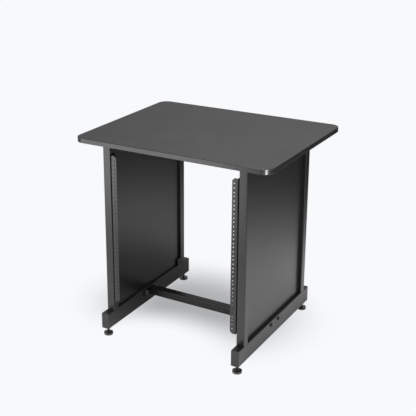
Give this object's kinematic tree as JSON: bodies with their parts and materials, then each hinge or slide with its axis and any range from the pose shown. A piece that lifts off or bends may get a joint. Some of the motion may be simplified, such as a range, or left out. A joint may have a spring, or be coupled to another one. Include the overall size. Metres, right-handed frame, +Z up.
{
  "type": "studio rack cabinet",
  "caption": "Open steel rack cabinet with a laminate desktop on two panelled side frames, punched rack rails at the front, a crossbar and levelling feet.",
  "frame": {"origin": "on the floor, under the middle of the desktop, with the feet locked at their height in the picture", "axes": "+Z up, -Y towards the front with the rack rails, +X to the right as seen from the front"},
  "size_m": [0.75, 0.6, 0.745],
  "materials": {
    "laminate": "black laminate with a fine matt texture on a fibreboard core",
    "edging": "dark plastic edge band, satin",
    "coated_steel": "black powder coat, fine satin texture",
    "panel_board": "smooth satin black lacquer on fibreboard",
    "black_fastener": "black oxide steel",
    "zinc_fastener": "bright zinc plated steel",
    "black_plastic": "moulded black plastic"
  },
  "bodies": {
    "frame": {"desktop_board": "laminate", "edge_band": "edging", "front_upright_left": "coated_steel", "front_upright_right": "coated_steel", "rear_upright_left": "coated_steel", "rear_upright_right": "coated_steel", "base_tube_left": "coated_steel", "base_tube_right": "coated_steel", "top_tube_left": "coated_steel", "top_tube_right": "coated_steel", "rack_rail_left": "coated_steel", "rack_rail_right": "coated_steel", "upper_rail_spacer_left": "coated_steel", "upper_rail_spacer_right": "coated_steel", "lower_rail_spacer_left": "coated_steel", "lower_rail_spacer_right": "coated_steel", "crossbar_plate_left": "coated_steel", "crossbar_plate_right": "coated_steel", "crossbar": "coated_steel", "side_panel_left": "panel_board", "side_panel_right": "panel_board", "upper_rail_bolt_left": "black_fastener", "upper_rail_bolt_right": "black_fastener", "lower_rail_bolt_left": "black_fastener", "lower_rail_bolt_right": "black_fastener", "front_crossbar_bolt_left": "black_fastener", "front_crossbar_bolt_right": "black_fastener", "rear_crossbar_bolt_left": "black_fastener", "rear_crossbar_bolt_right": "black_fastener", "front_lock_nut_left": "black_fastener", "front_lock_nut_right": "black_fastener", "rear_lock_nut_left": "black_fastener", "rear_lock_nut_right": "black_fastener", "front_foot_insert_left": "black_fastener", "front_foot_insert_right": "black_fastener", "rear_foot_insert_left": "black_fastener", "rear_foot_insert_right": "black_fastener", "front_desk_screw_left": "black_fastener", "front_desk_screw_right": "black_fastener", "rear_desk_screw_left": "black_fastener", "rear_desk_screw_right": "black_fastener", "front_crossbar_nut_left": "zinc_fastener", "front_crossbar_nut_right": "zinc_fastener", "rear_crossbar_nut_left": "zinc_fastener", "rear_crossbar_nut_right": "zinc_fastener", "front_end_cap_left": "black_plastic", "front_end_cap_right": "black_plastic", "rear_end_cap_left": "black_plastic", "rear_end_cap_right": "black_plastic", "corner_block_left": "black_plastic", "corner_block_right": "black_plastic"},
    "foot_front_left": {"front_foot_stem_left": "black_fastener", "front_foot_pad_left": "black_plastic"},
    "foot_front_right": {"front_foot_stem_right": "black_fastener", "front_foot_pad_right": "black_plastic"},
    "foot_rear_left": {"rear_foot_stem_left": "black_fastener", "rear_foot_pad_left": "black_plastic"},
    "foot_rear_right": {"rear_foot_stem_right": "black_fastener", "rear_foot_pad_right": "black_plastic"}
  },
  "joints": [
    {"name": "foot_front_left_travel", "type": "slide", "parent": "frame", "child": "foot_front_left", "axis": [0, 0, -1], "range_m": [0, 0.015]},
    {"name": "foot_front_right_travel", "type": "slide", "parent": "frame", "child": "foot_front_right", "axis": [0, 0, -1], "range_m": [0, 0.015]},
    {"name": "foot_rear_left_travel", "type": "slide", "parent": "frame", "child": "foot_rear_left", "axis": [0, 0, -1], "range_m": [0, 0.015]},
    {"name": "foot_rear_right_travel", "type": "slide", "parent": "frame", "child": "foot_rear_right", "axis": [0, 0, -1], "range_m": [0, 0.015]}
  ]
}
